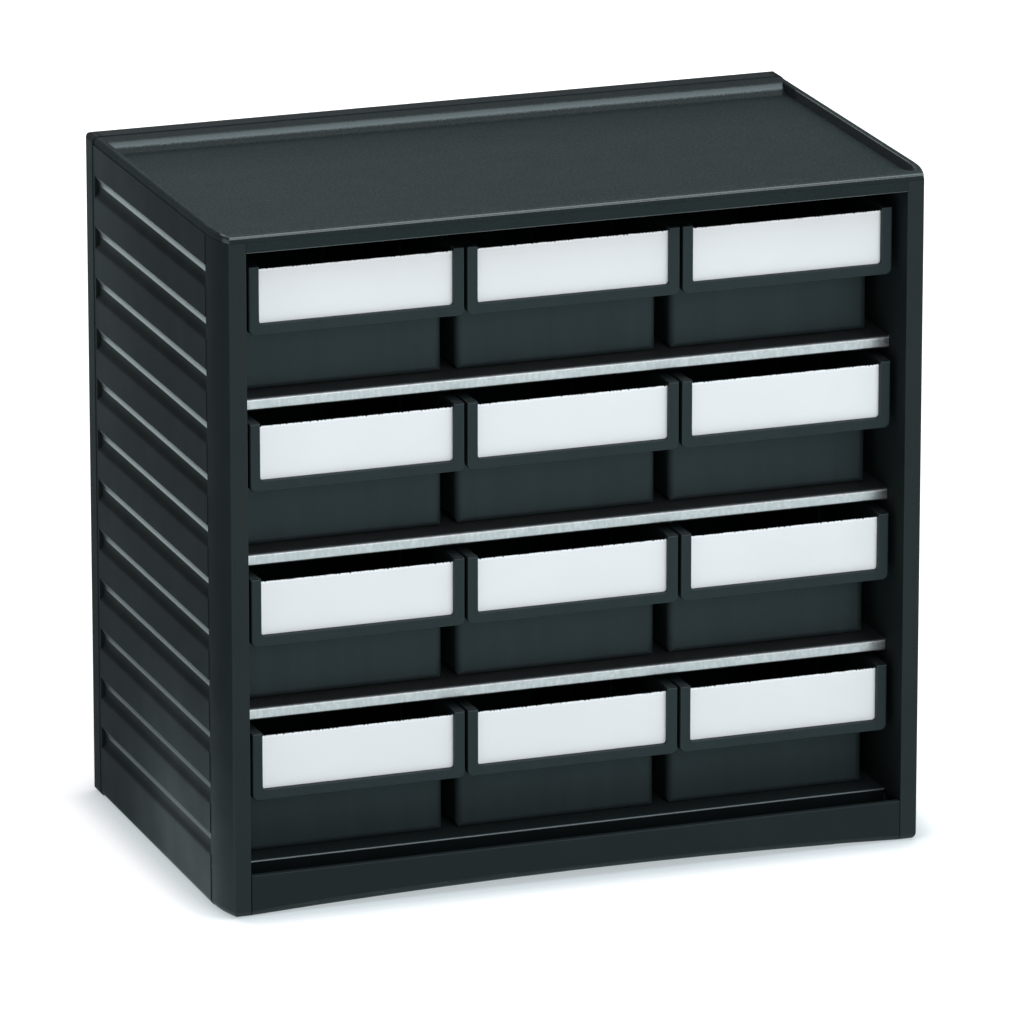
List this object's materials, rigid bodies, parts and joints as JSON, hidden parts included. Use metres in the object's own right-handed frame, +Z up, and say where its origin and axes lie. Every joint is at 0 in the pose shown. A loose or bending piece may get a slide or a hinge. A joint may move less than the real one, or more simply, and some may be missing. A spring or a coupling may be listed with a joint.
{
  "type": "parts bin cabinet",
  "caption": "Upright cabinet of pull-out small-parts drawers with label frames, moulded housing panels, sheet-metal shelves and a shallow tray on top",
  "frame": {"origin": "on the floor, under the middle of the cabinet's footprint", "axes": "+X to the right seen from the front, +Y to the back, +Z up; the drawers pull out along -Y"},
  "size_m": [0.31, 0.18, 0.29],
  "materials": {
    "housing_plastic": "fine satin texture",
    "top_plastic": "fine grained matt texture",
    "drawer_plastic": "smooth satin",
    "galvanised_sheet": "galvanised, dull",
    "label_card": "plain white card",
    "screw_steel": "zinc plated"
  },
  "bodies": {
    "housing": {"left_side_panel": "housing_plastic", "right_side_panel": "housing_plastic", "top_panel": "top_plastic", "base_panel": "housing_plastic", "back_cover": "housing_plastic", "back_screws": "screw_steel", "upper_shelf": "galvanised_sheet", "middle_shelf": "galvanised_sheet", "lower_shelf": "galvanised_sheet"},
    "drawer_1_1_body": {"drawer_1_1": "drawer_plastic", "label_1_1": "label_card"},
    "drawer_1_2_body": {"drawer_1_2": "drawer_plastic", "label_1_2": "label_card"},
    "drawer_1_3_body": {"drawer_1_3": "drawer_plastic", "label_1_3": "label_card"},
    "drawer_2_1_body": {"drawer_2_1": "drawer_plastic", "label_2_1": "label_card"},
    "drawer_2_2_body": {"drawer_2_2": "drawer_plastic", "label_2_2": "label_card"},
    "drawer_2_3_body": {"drawer_2_3": "drawer_plastic", "label_2_3": "label_card"},
    "drawer_3_1_body": {"drawer_3_1": "drawer_plastic", "label_3_1": "label_card"},
    "drawer_3_2_body": {"drawer_3_2": "drawer_plastic", "label_3_2": "label_card"},
    "drawer_3_3_body": {"drawer_3_3": "drawer_plastic", "label_3_3": "label_card"},
    "drawer_4_1_body": {"drawer_4_1": "drawer_plastic", "label_4_1": "label_card"},
    "drawer_4_2_body": {"drawer_4_2": "drawer_plastic", "label_4_2": "label_card"},
    "drawer_4_3_body": {"drawer_4_3": "drawer_plastic", "label_4_3": "label_card"}
  },
  "joints": [
    {"name": "drawer_1_1_slide", "type": "slide", "parent": "housing", "child": "drawer_1_1_body", "axis": [0, -1, 0], "range_m": [0, 0.13]},
    {"name": "drawer_1_2_slide", "type": "slide", "parent": "housing", "child": "drawer_1_2_body", "axis": [0, -1, 0], "range_m": [0, 0.13]},
    {"name": "drawer_1_3_slide", "type": "slide", "parent": "housing", "child": "drawer_1_3_body", "axis": [0, -1, 0], "range_m": [0, 0.13]},
    {"name": "drawer_2_1_slide", "type": "slide", "parent": "housing", "child": "drawer_2_1_body", "axis": [0, -1, 0], "range_m": [0, 0.13]},
    {"name": "drawer_2_2_slide", "type": "slide", "parent": "housing", "child": "drawer_2_2_body", "axis": [0, -1, 0], "range_m": [0, 0.13]},
    {"name": "drawer_2_3_slide", "type": "slide", "parent": "housing", "child": "drawer_2_3_body", "axis": [0, -1, 0], "range_m": [0, 0.13]},
    {"name": "drawer_3_1_slide", "type": "slide", "parent": "housing", "child": "drawer_3_1_body", "axis": [0, -1, 0], "range_m": [0, 0.13]},
    {"name": "drawer_3_2_slide", "type": "slide", "parent": "housing", "child": "drawer_3_2_body", "axis": [0, -1, 0], "range_m": [0, 0.13]},
    {"name": "drawer_3_3_slide", "type": "slide", "parent": "housing", "child": "drawer_3_3_body", "axis": [0, -1, 0], "range_m": [0, 0.13]},
    {"name": "drawer_4_1_slide", "type": "slide", "parent": "housing", "child": "drawer_4_1_body", "axis": [0, -1, 0], "range_m": [0, 0.13]},
    {"name": "drawer_4_2_slide", "type": "slide", "parent": "housing", "child": "drawer_4_2_body", "axis": [0, -1, 0], "range_m": [0, 0.13]},
    {"name": "drawer_4_3_slide", "type": "slide", "parent": "housing", "child": "drawer_4_3_body", "axis": [0, -1, 0], "range_m": [0, 0.13]}
  ]
}
